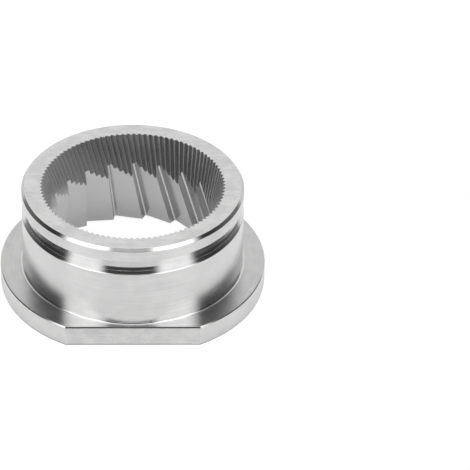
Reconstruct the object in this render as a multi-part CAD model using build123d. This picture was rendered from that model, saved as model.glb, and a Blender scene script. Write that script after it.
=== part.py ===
from build123d import *
import os
from math import cos, degrees, radians, sin, tan

# Ring burr of a conical coffee grinder: one piece of steel, turned outside and toothed inside.
# Millimetres. Z runs up the bore, and Z = 0 is the shoulder, the flange face that seats in
# the burr carrier. Angles are in degrees, anticlockwise from above, and start at the flat (-Y).

# Flange, with the flat that keeps the burr from turning
FLANGE_DIAMETER = 72.2
FLANGE_THICKNESS = 6.0
FLAT_DISTANCE = 31.35           # from the axis to the flat
RIM_BREAK = 0.25                # round the shoulder's rim
FLAT_BREAK_DEPTH = 0.24         # along the flat's upper edge, where the break is steeper
FLAT_BREAK_HEIGHT = 0.42
BASE_BREAK_DEPTH = 0.12         # all round the base, steep too
BASE_BREAK_HEIGHT = 0.45
RECESS_DIAMETER = 60.0          # shallow, in the base, round the mouth of the bore
RECESS_DEPTH = 0.9

# Spigot above the shoulder, from its foot to the top face
SPIGOT_DIAMETER = 60.0
SPIGOT_HEIGHT = 24.2
FOOT_FILLET = 0.6               # where the spigot meets the shoulder
TOP_CHAMFER = 0.75

# Groove under the top rim: a square upper wall, then a flank that leans out as it falls
RIM_HEIGHT = 3.8                # from the top face down to the groove
GROOVE_WIDTH = 4.35
GROOVE_EDGE_BREAK = 0.15        # lower edge of the groove
LOWER_FLANK_HEIGHT = 1.8
LOWER_FLANK_LEAN = 24.0         # off the axis
UPPER_FLANK_LEAN = 13.0
GROOVE_STEP = 0.06              # halfway down the lower flank, a turned step inwards

# Fine grinding teeth, in a cone that narrows downwards from the top face
FINE_TOOTH_COUNT = 101
FINE_ROOT_DIAMETER = 50.1       # at the top face
FINE_DEPTH = 0.78
FINE_HALF_ANGLE = 15.1
FINE_FLANK_RAKE = 24.0          # steep flank, off the radius
FINE_ROOT_CUT = 0.17            # the sharp root is cut back this far along both sides
FINE_TURN_PER_MM = 0.45
FINE_ROOT_ANGLE = 1.5           # of the first root, at the top face

# Coarse breaking ribs and the pockets between them, in a cone that widens downwards
RIB_COUNT = 20
POCKET_ROOT_DIAMETER = 56.1     # carried on down to the base plane
RIB_DEPTH = 2.1
POCKET_HALF_ANGLE = 13.5
RIB_FLANK_RAKE = 19.0
POCKET_ROOT_CUT = 0.3
POCKET_TURN_PER_MM = 0.35
POCKET_ROOT_ANGLE = 10.4        # of the first root, at the base plane

# The tooth and pocket cutters run past the faces that they open, or past each other, by this
OVERRUN = 1.0

BASE_Z = -FLANGE_THICKNESS
TOP_Z = SPIGOT_HEIGHT


def revolved(*outline):
    """Solid turned round the axis from the lines and arcs of its half section."""
    return revolve(Plane.XZ * make_face(outline), axis=Axis.Z)


def flange():
    """Round plate under the shoulder, with one flat, its edges broken and its base recessed."""
    rim = FLANGE_DIAMETER / 2
    plate = revolved(Polyline(
        (0, 0), (rim - RIM_BREAK, 0), (rim, -RIM_BREAK),
        (rim, BASE_Z + BASE_BREAK_HEIGHT), (rim - BASE_BREAK_DEPTH, BASE_Z), (0, BASE_Z), close=True,
    ))
    return plate - beyond_flat() - base_recess()


def beyond_flat():
    """What the flat cuts away. Its upper and lower breaks run on past the faces of the flange."""
    upper_run = FLAT_BREAK_DEPTH * OVERRUN / FLAT_BREAK_HEIGHT
    lower_run = BASE_BREAK_DEPTH * OVERRUN / BASE_BREAK_HEIGHT
    section = make_face(Polyline(
        (-FLANGE_DIAMETER, OVERRUN),
        (-FLAT_DISTANCE + FLAT_BREAK_DEPTH + upper_run, OVERRUN),
        (-FLAT_DISTANCE, -FLAT_BREAK_HEIGHT),
        (-FLAT_DISTANCE, BASE_Z + BASE_BREAK_HEIGHT),
        (-FLAT_DISTANCE + BASE_BREAK_DEPTH + lower_run, BASE_Z - OVERRUN),
        (-FLANGE_DIAMETER, BASE_Z - OVERRUN),
        close=True,
    ))
    return extrude(Plane.YZ * section, amount=FLANGE_DIAMETER, both=True)


def base_recess():
    """Round recess in the base, where the pockets end. It runs on below the base."""
    radius = RECESS_DIAMETER / 2
    ceiling = BASE_Z + RECESS_DEPTH
    floor = BASE_Z - OVERRUN
    return revolved(Polyline(
        (0, ceiling), (radius, ceiling), (radius, floor), (0, floor), close=True,
    ))


def groove_points():
    """Half section of the groove, from its upper edge on the spigot down to its lower one."""
    radius = SPIGOT_DIAMETER / 2
    top = TOP_Z - RIM_HEIGHT
    bottom = top - GROOVE_WIDTH
    foot = (radius - GROOVE_EDGE_BREAK, bottom + GROOVE_EDGE_BREAK)
    half_height = LOWER_FLANK_HEIGHT / 2
    half_lean = half_height * tan(radians(LOWER_FLANK_LEAN))
    below_step = (foot[0] - half_lean, foot[1] + half_height)
    above_step = (below_step[0] + GROOVE_STEP, below_step[1])
    bend = (above_step[0] - half_lean, above_step[1] + half_height)
    inner = (bend[0] - (top - bend[1]) * tan(radians(UPPER_FLANK_LEAN)), top)
    return [(radius, top), inner, bend, above_step, below_step, foot, (radius, bottom)]


def spigot():
    """Turned body above the shoulder, solid, with its rim, groove and the fillet at its foot."""
    radius = SPIGOT_DIAMETER / 2
    foot_radius = radius + FOOT_FILLET
    inside_flange = BASE_Z / 2      # above the recess
    fillet_middle = FOOT_FILLET * (1 - cos(radians(45)))
    rim = [(0, TOP_Z), (radius - TOP_CHAMFER, TOP_Z), (radius, TOP_Z - TOP_CHAMFER)]
    return revolved(
        Polyline(*rim, *groove_points(), (radius, FOOT_FILLET)),
        ThreePointArc((radius, FOOT_FILLET), (radius + fillet_middle, fillet_middle), (foot_radius, 0)),
        Polyline((foot_radius, 0), (foot_radius, inside_flange), (0, inside_flange), (0, TOP_Z)),
    )


def at(radius, angle, z):
    """Point at a radius and an angle from the flat."""
    return Vector(radius * sin(radians(angle)), -radius * cos(radians(angle)), z)


def toward(start, end, distance):
    """Point at a distance from start on the way to end."""
    return start + (end - start).normalized() * distance


def ratchet_section(count, root_radius, depth, rake, root_cut, first_root, z):
    """Corners of a ring of saw teeth at one height. Each has a ramp that ends in a root cut
    back to a narrow flat, then a steep flank up to its tip."""
    pitch = 360 / count
    flank_span = degrees(depth * tan(radians(rake)) / root_radius)
    corners = []
    for i in range(count):
        angle = first_root + pitch * i
        last_tip = at(root_radius - depth, angle - pitch + flank_span, z)
        root = at(root_radius, angle, z)
        tip = at(root_radius - depth, angle + flank_span, z)
        corners += [toward(root, last_tip, root_cut), toward(root, tip, root_cut), tip]
    return corners


def ring_of_edges(corners):
    return [Edge.make_line(corners[i - 1], corners[i]) for i in range(len(corners))]


def ruled_solid(lower_corners, upper_corners):
    """Solid between two sections, with a ruled face from each lower edge to its upper one."""
    lower = ring_of_edges(lower_corners)
    upper = ring_of_edges(upper_corners)
    sides = [Face.make_surface_from_curves(low, high) for low, high in zip(lower, upper)]
    ends = [Face(Wire(lower)), Face(Wire(upper))]
    return Solid(Shell(sides + ends))


def fine_root_radius(z):
    return FINE_ROOT_DIAMETER / 2 - (TOP_Z - z) * tan(radians(FINE_HALF_ANGLE))


def pocket_root_radius(z):
    return POCKET_ROOT_DIAMETER / 2 - (z - BASE_Z) * tan(radians(POCKET_HALF_ANGLE))


def crossing_z(radius_step):
    """Height where the fine roots stand inside the pocket roots by radius_step."""
    slopes = tan(radians(FINE_HALF_ANGLE)) + tan(radians(POCKET_HALF_ANGLE))
    return (pocket_root_radius(0) - radius_step - fine_root_radius(0)) / slopes


def fine_tooth_cavity():
    """Space inside the fine teeth, from above the top face to below the tips of the ribs' tops."""
    def section(z):
        root_angle = FINE_ROOT_ANGLE + FINE_TURN_PER_MM * (z - TOP_Z)
        return ratchet_section(
            FINE_TOOTH_COUNT, fine_root_radius(z), FINE_DEPTH, FINE_FLANK_RAKE,
            FINE_ROOT_CUT, root_angle, z,
        )
    return ruled_solid(section(crossing_z(RIB_DEPTH) - OVERRUN), section(TOP_Z + OVERRUN))


def pocket_cavity():
    """Space between the ribs, from below the base to above where it runs out in the fine teeth."""
    def section(z):
        root_angle = POCKET_ROOT_ANGLE + POCKET_TURN_PER_MM * (z - BASE_Z)
        return ratchet_section(
            RIB_COUNT, pocket_root_radius(z), RIB_DEPTH, RIB_FLANK_RAKE,
            POCKET_ROOT_CUT, root_angle, z,
        )
    return ruled_solid(section(BASE_Z - OVERRUN), section(crossing_z(-FINE_DEPTH) + OVERRUN))


def ring_burr():
    """The whole burr: flange and spigot in one, opened by the two toothed cavities."""
    return flange() + spigot() - fine_tooth_cavity() - pocket_cavity()


os.makedirs("parts", exist_ok=True)
export_step(ring_burr(), "parts/ring_burr.step")
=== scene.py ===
import math

import bpy
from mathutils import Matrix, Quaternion, Vector

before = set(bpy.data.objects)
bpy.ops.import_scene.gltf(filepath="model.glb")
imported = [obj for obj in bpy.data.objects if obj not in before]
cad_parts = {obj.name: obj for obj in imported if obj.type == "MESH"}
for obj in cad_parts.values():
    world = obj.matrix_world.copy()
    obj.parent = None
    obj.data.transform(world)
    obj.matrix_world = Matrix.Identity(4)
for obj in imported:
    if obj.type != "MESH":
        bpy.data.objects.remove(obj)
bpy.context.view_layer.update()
scene = bpy.context.scene
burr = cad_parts["ring_burr"]

# Measures of the burr that tell the zones of its surface apart
MM = 0.001
SPIGOT_RADIUS = 30.0 * MM
TOP_Z = 24.2 * MM
BASE_Z = -6.0 * MM
FLAT_Y = -31.35 * MM
FOOT_FILLET = 0.6 * MM
BASE_BREAK_TOP = BASE_Z + 0.46 * MM
GROOVE_FOOT_Z = 15.95 * MM              # just below the groove
FINE_ROOT_RADIUS = 25.05 * MM           # at the top face
FINE_SLOPE = math.tan(math.radians(15.1))
FINE_DEPTH = 0.78 * MM


# ---- Camera, at the photograph's angle ----

CAMERA_PITCH = math.radians(35.6)
CAMERA_DISTANCE = 0.8572
AIM = Vector((0, 0, 0.00765))
TURNED_RIGHT = math.radians(1.857)      # the burr stands left of the middle of the picture
FRAME_PIXELS = 470
FOCAL_PIXELS = 3150.3
SENSOR_WIDTH = 36
CLIP_START = 0.01
CLIP_END = 20

cam_data = bpy.data.cameras.new("camera")
cam = bpy.data.objects.new("camera", cam_data)
scene.collection.objects.link(cam)
cam_data.sensor_width = SENSOR_WIDTH
cam_data.lens = FOCAL_PIXELS / FRAME_PIXELS * SENSOR_WIDTH
cam_data.clip_start = CLIP_START
cam_data.clip_end = CLIP_END
towards = Vector((0, math.cos(CAMERA_PITCH), -math.sin(CAMERA_PITCH)))
cam.location = AIM - towards * CAMERA_DISTANCE
cam.rotation_mode = "QUATERNION"
cam.rotation_quaternion = towards.to_track_quat("-Z", "Y") @ Quaternion((0, 1, 0), -TURNED_RIGHT)
scene.camera = cam
scene.view_settings.view_transform = "Standard"


# ---- Node helpers ----

NOISE_DETAIL = 3.0


class Nodes:
    """Short calls for building one node tree."""

    def __init__(self, tree):
        self.tree = tree
        tree.nodes.clear()

    def add(self, kind, **settings):
        node = self.tree.nodes.new("ShaderNode" + kind)
        for name, value in settings.items():
            setattr(node, name, value)
        return node

    def put(self, socket, value):
        """Sets a socket to a constant, or links it to another node's output."""
        if isinstance(value, bpy.types.NodeSocket):
            self.tree.links.new(value, socket)
        else:
            socket.default_value = value

    def filled(self, node, values):
        """The node, with its first inputs set in order."""
        for socket, value in zip(node.inputs, values):
            self.put(socket, value)
        return node

    def math(self, operation, *values):
        return self.filled(self.add("Math", operation=operation), values).outputs[0]

    def above(self, value, limit):
        return self.math("GREATER_THAN", value, limit)

    def below(self, value, limit):
        return self.math("LESS_THAN", value, limit)

    def all_of(self, first, *others):
        """1 where all the masks are 1."""
        for other in others:
            first = self.math("MULTIPLY", first, other)
        return first

    def vector_math(self, operation, *values):
        node = self.filled(self.add("VectorMath", operation=operation), values)
        return node.outputs["Value" if operation in ("LENGTH", "DOT_PRODUCT") else "Vector"]

    def join(self, x, y, z):
        return self.filled(self.add("CombineXYZ"), (x, y, z)).outputs[0]

    def split(self, vector):
        return tuple(self.filled(self.add("SeparateXYZ"), (vector,)).outputs)

    def step(self, value, low, high, low_out=0.0, high_out=1.0):
        """low_out below low, high_out above high, and a smooth rise or fall between."""
        node = self.add("MapRange", interpolation_type="SMOOTHSTEP")
        return self.filled(node, (value, low, high, low_out, high_out)).outputs[0]

    def ramp(self, value, low, high, low_out=0.0, high_out=1.0):
        """As step, but with a straight rise."""
        node = self.add("MapRange", clamp=True)
        return self.filled(node, (value, low, high, low_out, high_out)).outputs[0]

    def blend(self, factor, a, b):
        """a where factor is 0, and b where it is 1."""
        node = self.add("Mix", data_type="FLOAT")
        self.put(node.inputs["Factor"], factor)
        self.put(node.inputs[2], a)
        self.put(node.inputs[3], b)
        return node.outputs[0]

    def blend_vectors(self, factor, a, b):
        node = self.add("Mix", data_type="VECTOR")
        self.put(node.inputs["Factor"], factor)
        self.put(node.inputs[4], a)
        self.put(node.inputs[5], b)
        return node.outputs[1]

    def blend_colours(self, factor, a, b):
        node = self.add("Mix", data_type="RGBA")
        self.put(node.inputs["Factor"], factor)
        self.put(node.inputs[6], a)
        self.put(node.inputs[7], b)
        return node.outputs[2]

    def blend_shaders(self, factor, a, b):
        return self.filled(self.add("MixShader"), (factor, a, b)).outputs[0]

    def noise(self, vector, scale, roughness, w=None):
        node = self.add("TexNoise", noise_dimensions="3D" if w is None else "4D")
        self.put(node.inputs["Vector"], vector)
        self.put(node.inputs["Scale"], scale)
        self.put(node.inputs["Detail"], NOISE_DETAIL)
        self.put(node.inputs["Roughness"], roughness)
        if w is not None:
            self.put(node.inputs["W"], w)
        return node.outputs["Fac"]


# ---- Studio: two softboxes in front, a dark gap between them and at each side, a white back ----

# Two angles are where a change begins and where it ends, in degrees: elevations for RISE, FLARE
# and the starts of the ceiling and the zenith, and azimuths off the middle, either way, for the rest.
STUDIO_TURN = 2.5                       # the middle stands left of the burr's front by this
GAP_END = (21, 32)
GAP_LIGHT = (0.05, 0.58)
GAP_RISE = (34, 56)
SOFTBOX_LIGHT = (1.28, 2.1)
SOFTBOX_RISE = (16, 34)
SOFTBOX_END = (62.0, 75.0)              # low down, and high up
SOFTBOX_FLARE = (14, 36)
SOFTBOX_EDGE = 12.0                     # how soft its end is
SIDE_NEAR_LIGHT = (0.008, 0.048)        # next to the softboxes, below the table and above it
SIDE_NEAR_RISE = (-25, -5)
SIDE_FAR_LIGHT = 0.22
SIDE_FAR_START = (92, 126)
BACK_START = (126, 136)
BACK_LIGHT = 0.83
CEILING_START = (56, 66)
CEILING_LIGHT = 2.2
ZENITH_START = (66, 74)
ZENITH_LIGHT = 0.95                     # dim enough to keep the top face pale grey from above
WHITE = (1, 1, 1, 1)


def studio_light(n):
    """Brightness of the studio, by direction."""
    x, y, z = n.split(n.add("TexCoord").outputs["Generated"])
    azimuth = n.math("ARCTAN2", x, n.math("MULTIPLY", y, -1.0))
    off_middle = n.math("ABSOLUTE", n.math("ADD", n.math("DEGREES", azimuth), STUDIO_TURN))
    elevation = n.math("DEGREES", n.math("ARCSINE", z))

    gap = n.ramp(elevation, *GAP_RISE, *GAP_LIGHT)
    softbox = n.step(elevation, *SOFTBOX_RISE, *SOFTBOX_LIGHT)
    light = n.blend(n.step(off_middle, *GAP_END), gap, softbox)

    softbox_end = n.ramp(elevation, *SOFTBOX_FLARE, *SOFTBOX_END)
    past_end = n.math("SUBTRACT", off_middle, softbox_end)
    side_near = n.step(elevation, *SIDE_NEAR_RISE, *SIDE_NEAR_LIGHT)
    side = n.ramp(off_middle, *SIDE_FAR_START, side_near, SIDE_FAR_LIGHT)
    light = n.blend(n.step(past_end, -SOFTBOX_EDGE / 2, SOFTBOX_EDGE / 2), light, side)

    light = n.blend(n.step(off_middle, *BACK_START), light, BACK_LIGHT)
    light = n.blend(n.step(elevation, *CEILING_START), light, CEILING_LIGHT)
    return n.blend(n.step(elevation, *ZENITH_START), light, ZENITH_LIGHT)


def studio_world():
    """The studio as it lights the burr. The camera sees plain white in its place."""
    world = bpy.data.worlds.new("studio")
    world.use_nodes = True
    n = Nodes(world.node_tree)

    def white(strength):
        return n.filled(n.add("Background"), (WHITE, strength)).outputs[0]

    seen = n.add("LightPath").outputs["Is Camera Ray"]
    shader = n.blend_shaders(seen, white(studio_light(n)), white(1.0))
    n.put(n.add("OutputWorld").inputs[0], shader)
    return world


scene.world = studio_world()


# ---- Floor: a white table top, with the burr's faint shadow kept. Past its edges the studio shows ----

TABLE_HALF_WIDTH = 80 * MM
TABLE_FRONT = -320 * MM
TABLE_BACK = 600 * MM
FLOOR_GAP = 0.05 * MM
PAPER_GREY = 0.85
SEEN_GREY = 0.25 * PAPER_GREY           # the camera sees this, and a glow over it that makes it white
SEEN_GLOW = 0.92
MIRRORED_GLOW = (0.22, 0.275)           # in front of the burr, and to either side of it
MIRRORED_GLOW_RISE = (22 * MM, 45 * MM)


def table_material():
    """Paper that lights the burr as paper does, and is whiter to the camera and in the steel."""
    material = bpy.data.materials.new("white_floor")
    material.use_nodes = True
    n = Nodes(material.node_tree)
    path = n.add("LightPath")
    seen = path.outputs["Is Camera Ray"]
    mirrored = path.outputs["Is Glossy Ray"]

    def paper(grey):
        return n.filled(n.add("BsdfDiffuse"), ((grey, grey, grey, 1),)).outputs[0]

    def glowing_paper(grey, glow):
        emission = n.filled(n.add("Emission"), (WHITE, glow)).outputs[0]
        return n.filled(n.add("AddShader"), (paper(grey), emission)).outputs[0]

    across = n.split(n.add("TexCoord").outputs["Object"])[0]
    mirrored_glow = n.step(n.math("ABSOLUTE", across), *MIRRORED_GLOW_RISE, *MIRRORED_GLOW)
    shader = n.blend_shaders(mirrored, paper(PAPER_GREY), glowing_paper(PAPER_GREY, mirrored_glow))
    shader = n.blend_shaders(seen, shader, glowing_paper(SEEN_GREY, SEEN_GLOW))

    # From below, the camera looks through the floor at the base
    from_below = n.all_of(n.add("NewGeometry").outputs["Backfacing"], seen)
    shader = n.blend_shaders(from_below, shader, n.add("BsdfTransparent").outputs[0])
    n.put(n.add("OutputMaterial").inputs["Surface"], shader)
    return material


floor_z = BASE_Z - FLOOR_GAP
floor_mesh = bpy.data.meshes.new("floor")
floor_mesh.from_pydata(
    [
        (-TABLE_HALF_WIDTH, TABLE_FRONT, floor_z), (TABLE_HALF_WIDTH, TABLE_FRONT, floor_z),
        (TABLE_HALF_WIDTH, TABLE_BACK, floor_z), (-TABLE_HALF_WIDTH, TABLE_BACK, floor_z),
    ],
    [], [(0, 1, 2, 3)],
)
floor = bpy.data.objects.new("floor", floor_mesh)
scene.collection.objects.link(floor)
floor_mesh.materials.append(table_material())


# ---- Zones of the burr's surface ----

# Facing is the upward part of the normal: 1 for a level face, 0 for an upright wall. Where there
# are two values, the zone fades in or out between them.
TOP_FACING = 0.95
TOP_MARGIN = 0.1 * MM
FLAT_MARGIN = 0.01 * MM
UPRIGHT_FACING = 0.02
BORE_FACING = 0.9                       # level faces inside the bore's reach aren't the bore
BORE_REACH_LOW = 29.45 * MM             # below the groove
BORE_REACH_HIGH = 27.0 * MM             # from the groove up
FINE_FACING = (0.088, 0.112)            # the fine teeth face a little upwards, and the pockets don't
FINE_CONE_MARGIN = 0.03 * MM
CUT_IN_MARGIN = 0.05 * MM               # more than the round wall's facets lie inside its circle
FILLET_SIDE_MARGIN = 0.01 * MM
FILLET_FOOT_MARGIN = 0.002 * MM
FILLET_TOP_MARGIN = 0.02 * MM
BASE_BREAK_FACING = -0.3
BASE_BREAK_SPREAD = 0.25
FLANK_TURN = (-0.80, -0.68)             # how far a face turns round the axis, anticlockwise
ROOT_TURN = (-0.10, 0.0)


class Surface:
    """Where a point of the burr lies and how it faces, and masks of 0 or 1 for its zones."""

    def __init__(self, n):
        geometry = n.add("NewGeometry")
        self.normal = geometry.outputs["True Normal"]
        self.smooth_normal = geometry.outputs["Normal"]
        self.place = n.add("TexCoord").outputs["Object"]
        self.x, self.y, self.z = n.split(self.place)
        self.radius = n.vector_math("LENGTH", n.join(self.x, self.y, 0.0))
        x_share = n.math("DIVIDE", self.x, self.radius)
        y_share = n.math("DIVIDE", self.y, self.radius)
        self.outwards = n.join(x_share, y_share, 0.0)
        anticlockwise = n.join(n.math("MULTIPLY", y_share, -1.0), x_share, 0.0)
        facing = n.split(self.normal)[2]
        levelness = n.math("ABSOLUTE", facing)

        at_top = n.above(self.z, TOP_Z - TOP_MARGIN)
        self.top_face = n.all_of(n.above(facing, TOP_FACING), at_top)
        self.flat = n.below(self.y, FLAT_Y + FLAT_MARGIN)
        self.straight = n.math("MAXIMUM", self.top_face, self.flat)
        self.upright = n.below(levelness, UPRIGHT_FACING)

        # Cut in: the groove, and what lies inside the spigot's wall from there up
        high = n.above(self.z, GROOVE_FOOT_Z)
        self.cut_in = n.all_of(high, n.below(self.radius, SPIGOT_RADIUS - CUT_IN_MARGIN))
        bore_reach = n.blend(high, BORE_REACH_LOW, BORE_REACH_HIGH)
        self.bore = n.all_of(n.below(self.radius, bore_reach), n.below(levelness, BORE_FACING))
        root_at_shoulder = FINE_ROOT_RADIUS - TOP_Z * FINE_SLOPE
        fine_root = n.math("ADD", n.math("MULTIPLY", self.z, FINE_SLOPE), root_at_shoulder)
        in_fine_cone = n.below(self.radius, n.math("ADD", fine_root, FINE_CONE_MARGIN))
        self.fine = n.all_of(self.bore, n.step(facing, *FINE_FACING), in_fine_cone)
        root_to_here = n.math("SUBTRACT", fine_root, self.radius)
        self.up_fine_tooth = n.math("DIVIDE", root_to_here, FINE_DEPTH)     # 0 at the root, 1 at the tip

        # Ramps, cut roots and steep flanks of the teeth, told apart by how far they face round the axis
        turn = n.vector_math("DOT_PRODUCT", self.normal, anticlockwise)
        self.flank = n.step(turn, *FLANK_TURN, 1.0, 0.0)
        self.root = n.math("SUBTRACT", n.step(turn, *ROOT_TURN, 1.0, 0.0), self.flank)

        self.fillet = n.all_of(
            n.below(self.radius, SPIGOT_RADIUS + FOOT_FILLET + FILLET_SIDE_MARGIN),
            n.above(self.z, FILLET_FOOT_MARGIN),
            n.below(self.z, FOOT_FILLET - FILLET_TOP_MARGIN),
            n.math("SUBTRACT", 1.0, self.bore),
        )
        off_break = n.math("ABSOLUTE", n.math("SUBTRACT", facing, BASE_BREAK_FACING))
        self.base_break = n.all_of(n.below(self.z, BASE_BREAK_TOP), n.below(off_break, BASE_BREAK_SPREAD))


# ---- Steel: turned outside, surface-ground top face, milled flat, teeth ground along their length ----

# Tool lines: how many to the metre across them, and how fast they change along them
LINE_ROUGHNESS = 0.6
TURNED_FINE = (2800.0, 1.4)
TURNED_BROAD = (1100.0, 3.0)
TURNED_BROAD_SHARE = 0.25
GROUND_LONG = (2200, 90)
GROUND_SHORT = (2000, 500)
GROUND_SHORT_SHARE = 0.5
TOOTH_LINES = (2400, 160)
TOOTH_LINE_STRENGTH = 0.45
LINE_HEIGHT = (0.016 * MM, 0.030 * MM)  # in general, and where the surface is cut in
BUMP_STRENGTH = 0.35

CLOUD_SCALE = 260.0
CLOUD_ROUGHNESS = 0.55
LINES_IN_TONE = 0.6
CLOUDS_IN_TONE = 0.4
MIDDLE_TONE = 0.5
TONE_REACH = (0.20, 0.09)               # from the middle to dark or pale: in general, and if straight
STEEL_DARK = (0.585, 0.585, 0.585, 1)
STEEL_PALE = (0.69, 0.69, 0.685, 1)
STEEL_WORN_AND_HIGHLIT = (0.78, 0.78, 0.775, 1)
EDGE_RADIUS = 0.07 * MM
EDGE_SAMPLES = 6
WORN_AND_HIGHLIT_FLATNESS = (0.93, 0.999)           # edge wear with a painted edge highlight: pale at the sharpest edges, and not at all on faces

ANISOTROPY = 0.85
QUARTER_TURN = 0.25                     # reflections blur across the tool lines
TURNED_ROUGHNESS = 0.22
CUT_IN_ROUGHNESS = 0.15
STRAIGHT_ROUGHNESS = 0.30
BORE_ROUGHNESS = 0.17
FINE_ROUGHNESS = 0.25
FILLET_ROUGHNESS = 0.12
TONE_IN_ROUGHNESS = 0.08

# Painted light and shade: how much of the steel's tone each kind of surface keeps, with painted shade
# below 1 and painted highlights above 1. Ranges up a tooth are shares of its depth.
FINE_RAMP_SHADE = (0.75, 0.94, 1.17)    # painted shade near the root and along the middle, and a painted highlight near the tip
FINE_RAMP_RISE = (0.1, 0.35)
FINE_TIP_RISE = (0.75, 0.95)
FINE_FLANK_SHADE = (0.48, 1.50)         # painted shade near the root, and a painted highlight near the tip
FINE_FLANK_RISE = (0.55, 0.85)
# painted shade in the roots of the fine teeth
FINE_ROOT_SHADE = 0.55
FINE_SIDE_SHADE = 0.74                  # painted shade over all of it again, at the two sides of the bore
FINE_SIDE_REACH = (3.5 * MM, 7.5 * MM)  # from the middle of each side
FINE_LEFT_TOP = (16.5 * MM, 20.5 * MM)  # and at the left only below this height
POCKET_FLOOR_SHADE = (0.93, 1.08)       # painted shade at the base, and painted light above it
POCKET_FLOOR_RISE = (-5 * MM, 6 * MM)
# a painted highlight along the pockets' roots
POCKET_ROOT_SHADE = 1.25
# painted shade on the ribs' flanks
RIB_FLANK_SHADE = 0.78
# painted shade on the base's edge break, where it meets the floor
BASE_BREAK_SHADE = 0.66
FILLET_SHADE = (1.00, 1.20)             # a painted highlight on the foot's fillet: none in front, and at the sides
FILLET_RISE = (-28 * MM, -23 * MM)
# painted light: the top face lighter
TOP_SHADE = 1.09
FLAT_SHADE = (1.10, 0.99)               # painted light, paler towards the bottom: at its lower edge, and at its upper edge


def line_direction(n, on):
    """Tool lines run round the axis, along X, or down the teeth."""
    round_axis = n.add("Tangent", direction_type="RADIAL", axis="Z").outputs[0]
    direction = n.blend_vectors(on.straight, round_axis, (1, 0, 0))
    return n.blend_vectors(on.bore, direction, (0, 0, 1))


def tool_lines(n, on):
    """Height of the tool lines, from 0 to 1."""
    # On upright walls the radius only steps from facet to facet, so it is left out there
    ring = n.math("MULTIPLY", on.radius, n.math("SUBTRACT", 1.0, on.upright))

    def turned(per_metre, round_scale):
        spread = n.vector_math("MULTIPLY", on.outwards, (round_scale, round_scale, 0))
        up = n.join(0.0, 0.0, n.math("MULTIPLY", on.z, per_metre))
        lie = n.vector_math("ADD", spread, up)
        return n.noise(lie, 1.0, LINE_ROUGHNESS, w=n.math("MULTIPLY", ring, per_metre))

    def stretched(along_x, along_y, along_z):
        lie = n.vector_math("MULTIPLY", on.place, (along_x, along_y, along_z))
        return n.noise(lie, 1.0, LINE_ROUGHNESS)

    def ground(per_metre, along):
        return stretched(along, per_metre, per_metre)

    def toothed(per_metre, along):
        return stretched(per_metre, per_metre, along)

    outside = n.blend(TURNED_BROAD_SHARE, turned(*TURNED_FINE), turned(*TURNED_BROAD))
    straight = n.blend(GROUND_SHORT_SHARE, ground(*GROUND_LONG), ground(*GROUND_SHORT))
    inside = n.math("MULTIPLY", toothed(*TOOTH_LINES), TOOTH_LINE_STRENGTH)
    return n.blend(on.bore, n.blend(on.straight, outside, straight), inside)


# Painted shade and painted highlights on the fine teeth
def painted_light_on_fine_teeth(n, on):
    flank = n.step(on.up_fine_tooth, *FINE_FLANK_RISE, *FINE_FLANK_SHADE)
    near_root, middle, near_tip = FINE_RAMP_SHADE
    ramp = n.step(on.up_fine_tooth, *FINE_RAMP_RISE, near_root, middle)
    ramp = n.blend(n.step(on.up_fine_tooth, *FINE_TIP_RISE), ramp, near_tip)
    shade = n.blend(on.flank, n.blend(on.root, ramp, FINE_ROOT_SHADE), flank)

    at_side = n.step(n.math("ABSOLUTE", on.y), *FINE_SIDE_REACH, 1.0, 0.0)
    low = n.step(on.z, *FINE_LEFT_TOP, 1.0, 0.0)
    low_or_right = n.math("MAXIMUM", n.above(on.x, 0.0), low)
    side_shade = n.blend(n.all_of(at_side, low_or_right), 1.0, FINE_SIDE_SHADE)
    return n.math("MULTIPLY", shade, side_shade)


# Painted light and shade on each kind of surface, as a factor on the steel's colour
def painted_light_and_shade(n, on):
    pocket_floor = n.step(on.z, *POCKET_FLOOR_RISE, *POCKET_FLOOR_SHADE)
    pocket = n.blend(on.flank, n.blend(on.root, pocket_floor, POCKET_ROOT_SHADE), RIB_FLANK_SHADE)
    shade = n.blend(on.bore, 1.0, n.blend(on.fine, pocket, painted_light_on_fine_teeth(n, on)))
    shade = n.blend(on.flat, shade, n.ramp(on.z, BASE_Z, 0.0, *FLAT_SHADE))
    shade = n.blend(on.base_break, shade, BASE_BREAK_SHADE)
    shade = n.blend(on.top_face, shade, TOP_SHADE)
    return n.blend(on.fillet, shade, n.step(on.y, *FILLET_RISE, *FILLET_SHADE))


def steel_colour(n, on, tone, edge_normal):
    reach = n.blend(on.straight, *TONE_REACH)
    paleness = n.step(tone, n.math("SUBTRACT", MIDDLE_TONE, reach), n.math("ADD", MIDDLE_TONE, reach))
    colour = n.blend_colours(paleness, STEEL_DARK, STEEL_PALE)
    shade = painted_light_and_shade(n, on)
    # the painted light and shade darken or lighten the steel's colour here
    shaded = n.vector_math("MULTIPLY", colour, n.join(shade, shade, shade))
    flatness = n.vector_math("DOT_PRODUCT", edge_normal, on.smooth_normal)
    # edge wear and a painted highlight along the sharpest edges
    worn_and_highlit = n.step(flatness, *WORN_AND_HIGHLIT_FLATNESS, 1.0, 0.0)
    return n.blend_colours(worn_and_highlit, shaded, STEEL_WORN_AND_HIGHLIT)


def steel_roughness(n, on, tone):
    rough = n.blend(on.cut_in, TURNED_ROUGHNESS, CUT_IN_ROUGHNESS)
    rough = n.blend(on.straight, rough, STRAIGHT_ROUGHNESS)
    rough = n.blend(on.bore, rough, BORE_ROUGHNESS)
    rough = n.blend(on.fine, rough, FINE_ROUGHNESS)
    rough = n.blend(on.fillet, rough, FILLET_ROUGHNESS)
    change = n.math("MULTIPLY", n.math("SUBTRACT", tone, MIDDLE_TONE), TONE_IN_ROUGHNESS)
    return n.math("ADD", rough, change)


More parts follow.
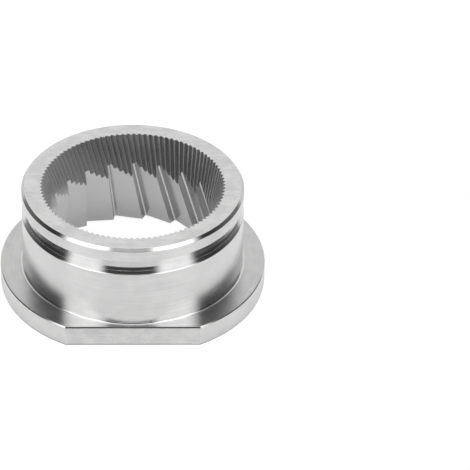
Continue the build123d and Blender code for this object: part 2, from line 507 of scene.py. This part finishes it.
def steel_normal(n, on, lines, edge_normal):
    """Tool lines raised a little, and the foot's fillet as a true arc, to keep its facets out of
    its narrow line of light."""
    bump = n.add("Bump")
    n.put(bump.inputs["Strength"], BUMP_STRENGTH)
    n.put(bump.inputs["Distance"], n.blend(on.cut_in, *LINE_HEIGHT))
    n.put(bump.inputs["Height"], lines)
    n.put(bump.inputs["Normal"], edge_normal)

    out_to_centre = n.math("SUBTRACT", SPIGOT_RADIUS + FOOT_FILLET, on.radius)
    up_to_centre = n.math("SUBTRACT", FOOT_FILLET, on.z)
    level = n.vector_math("MULTIPLY", on.outwards, n.join(out_to_centre, out_to_centre, 0.0))
    to_centre = n.vector_math("ADD", level, n.join(0.0, 0.0, up_to_centre))
    arc_normal = n.vector_math("NORMALIZE", to_centre)
    return n.blend_vectors(on.fillet, bump.outputs[0], arc_normal)


def steel_material():
    material = bpy.data.materials.new("burr_steel_finish")
    material.use_nodes = True
    n = Nodes(material.node_tree)
    on = Surface(n)
    lines = tool_lines(n, on)
    clouds = n.noise(on.place, CLOUD_SCALE, CLOUD_ROUGHNESS)
    lines_part = n.math("MULTIPLY", lines, LINES_IN_TONE)
    tone = n.math("ADD", lines_part, n.math("MULTIPLY", clouds, CLOUDS_IN_TONE))
    bevel = n.add("Bevel", samples=EDGE_SAMPLES)
    n.put(bevel.inputs["Radius"], EDGE_RADIUS)
    edge_normal = bevel.outputs[0]

    bsdf = n.add("BsdfPrincipled")
    n.put(bsdf.inputs["Base Color"], steel_colour(n, on, tone, edge_normal))
    n.put(bsdf.inputs["Metallic"], 1.0)
    n.put(bsdf.inputs["Roughness"], steel_roughness(n, on, tone))
    n.put(bsdf.inputs["Anisotropic"], ANISOTROPY)
    n.put(bsdf.inputs["Anisotropic Rotation"], QUARTER_TURN)
    n.put(bsdf.inputs["Tangent"], line_direction(n, on))
    n.put(bsdf.inputs["Normal"], steel_normal(n, on, lines, edge_normal))
    n.put(n.add("OutputMaterial").inputs["Surface"], bsdf.outputs[0])
    return material


burr.material_slots[0].material = steel_material()
